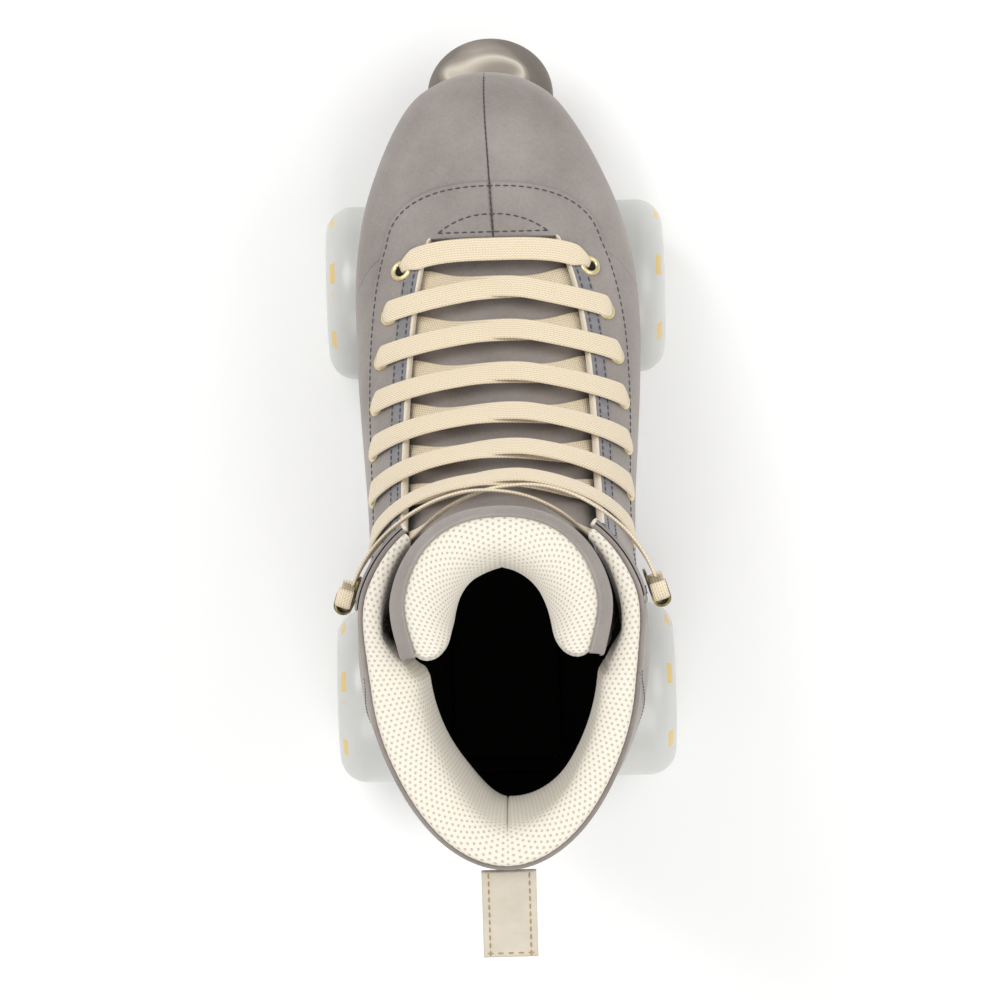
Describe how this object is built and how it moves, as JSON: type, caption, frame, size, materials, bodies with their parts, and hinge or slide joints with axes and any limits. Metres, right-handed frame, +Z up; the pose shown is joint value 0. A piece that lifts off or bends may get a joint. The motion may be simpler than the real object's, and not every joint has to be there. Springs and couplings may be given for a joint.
{
  "type": "quad roller skate",
  "caption": "High lace-up quad roller skate boot for a right foot, with plate, steering trucks, milky wheels and a marbled toe stop.",
  "frame": {"origin": "centre of the overall box, on the ground the wheels stand on", "axes": "+Y towards the toe, +X towards the outer side of the right foot, +Z up"},
  "size_m": [0.1264, 0.3274, 0.2854],
  "materials": {
    "upper_leather": "smooth matt taupe",
    "tongue_leather": "smooth matt taupe",
    "tab_leather": "smooth matt cream",
    "lining_mesh": "spacer mesh",
    "footbed_fabric": "brushed",
    "board": "fibre board",
    "lace_cotton": "flat woven",
    "hook_metal": "antique",
    "sole_rubber": "matt moulded",
    "plate_nylon": "moulded",
    "truck_alloy": "satin cast",
    "steel": "zinc plated",
    "bearing_steel": "ground",
    "cushion_urethane": "cast",
    "wheel_urethane": "cast, milky",
    "stop_rubber": "marbled moulded"
  },
  "bodies": {
    "boot_and_plate": {"front_kingpin": "steel", "front_cushion_upper": "cushion_urethane", "front_cushion_lower": "cushion_urethane", "front_kingpin_nut": "steel", "front_pivot_cup": "cushion_urethane", "plate_bolt_front_medial": "steel", "plate_bolt_front_lateral": "steel", "rear_kingpin": "steel", "rear_cushion_upper": "cushion_urethane", "rear_cushion_lower": "cushion_urethane", "rear_kingpin_nut": "steel", "rear_pivot_cup": "cushion_urethane", "plate_bolt_rear_medial": "steel", "plate_bolt_rear_lateral": "steel", "plate": "plate_nylon", "toe_stop_nut": "steel", "outsole": "sole_rubber", "heel_block": "sole_rubber", "insole_board": "board", "footbed": "footbed_fabric", "vamp_medial": "upper_leather", "quarter_medial": "upper_leather", "eyestay_medial": "upper_leather", "lining_medial": "lining_mesh", "lace_hook_medial": "hook_metal", "vamp_lateral": "upper_leather", "quarter_lateral": "upper_leather", "eyestay_lateral": "upper_leather", "lining_lateral": "lining_mesh", "lace_hook_lateral": "hook_metal", "heel_counter": "upper_leather", "toe_lining": "lining_mesh", "collar_lining": "lining_mesh", "tongue": "tongue_leather", "tongue_padding": "lining_mesh", "lace": "lace_cotton"},
    "front_truck": {"front_hanger": "truck_alloy", "front_axle": "steel", "front_axle_nut_medial": "steel", "front_axle_nut_lateral": "steel"},
    "front_medial_wheel": {"front_wheel_medial": "wheel_urethane", "front_bearing_inner_medial": "bearing_steel", "front_bearing_outer_medial": "bearing_steel"},
    "front_lateral_wheel": {"front_wheel_lateral": "wheel_urethane", "front_bearing_inner_lateral": "bearing_steel", "front_bearing_outer_lateral": "bearing_steel"},
    "rear_truck": {"rear_hanger": "truck_alloy", "rear_axle": "steel", "rear_axle_nut_medial": "steel", "rear_axle_nut_lateral": "steel"},
    "rear_medial_wheel": {"rear_wheel_medial": "wheel_urethane", "rear_bearing_inner_medial": "bearing_steel", "rear_bearing_outer_medial": "bearing_steel"},
    "rear_lateral_wheel": {"rear_wheel_lateral": "wheel_urethane", "rear_bearing_inner_lateral": "bearing_steel", "rear_bearing_outer_lateral": "bearing_steel"},
    "toe_stop_unit": {"toe_stop": "stop_rubber", "toe_stop_stem": "steel"},
    "tab": {"pull_tab": "tab_leather"}
  },
  "joints": [
    {"name": "front_truck_steer", "type": "hinge", "parent": "boot_and_plate", "child": "front_truck", "pos_m": [0, 0.04927, 0.051], "axis": [0, 0.9632, 0.2688], "range_deg": [-6, 6], "stiffness_Nm_per_rad": 30},
    {"name": "front_medial_wheel_spin", "type": "hinge", "parent": "front_truck", "child": "front_medial_wheel", "pos_m": [-0.0442, 0.07027, 0.0325], "axis": [1, 0, 0], "continuous": true},
    {"name": "front_lateral_wheel_spin", "type": "hinge", "parent": "front_truck", "child": "front_lateral_wheel", "pos_m": [0.0442, 0.07027, 0.0325], "axis": [1, 0, 0], "continuous": true},
    {"name": "rear_truck_steer", "type": "hinge", "parent": "boot_and_plate", "child": "rear_truck", "pos_m": [0, -0.06073, 0.051], "axis": [0, -0.9632, 0.2688], "range_deg": [-6, 6], "stiffness_Nm_per_rad": 30},
    {"name": "rear_medial_wheel_spin", "type": "hinge", "parent": "rear_truck", "child": "rear_medial_wheel", "pos_m": [-0.0442, -0.08173, 0.0325], "axis": [1, 0, 0], "continuous": true},
    {"name": "rear_lateral_wheel_spin", "type": "hinge", "parent": "rear_truck", "child": "rear_lateral_wheel", "pos_m": [0.0442, -0.08173, 0.0325], "axis": [1, 0, 0], "continuous": true},
    {"name": "toe_stop_height", "type": "slide", "parent": "boot_and_plate", "child": "toe_stop_unit", "axis": [0, 0.5299, -0.848], "range_m": [0, 0.008]},
    {"name": "pull_tab_flex", "type": "hinge", "parent": "boot_and_plate", "child": "tab", "pos_m": [0, -0.13383, 0.251], "axis": [1, 0, 0], "range_deg": [-60, 10], "stiffness_Nm_per_rad": 0.05}
  ]
}
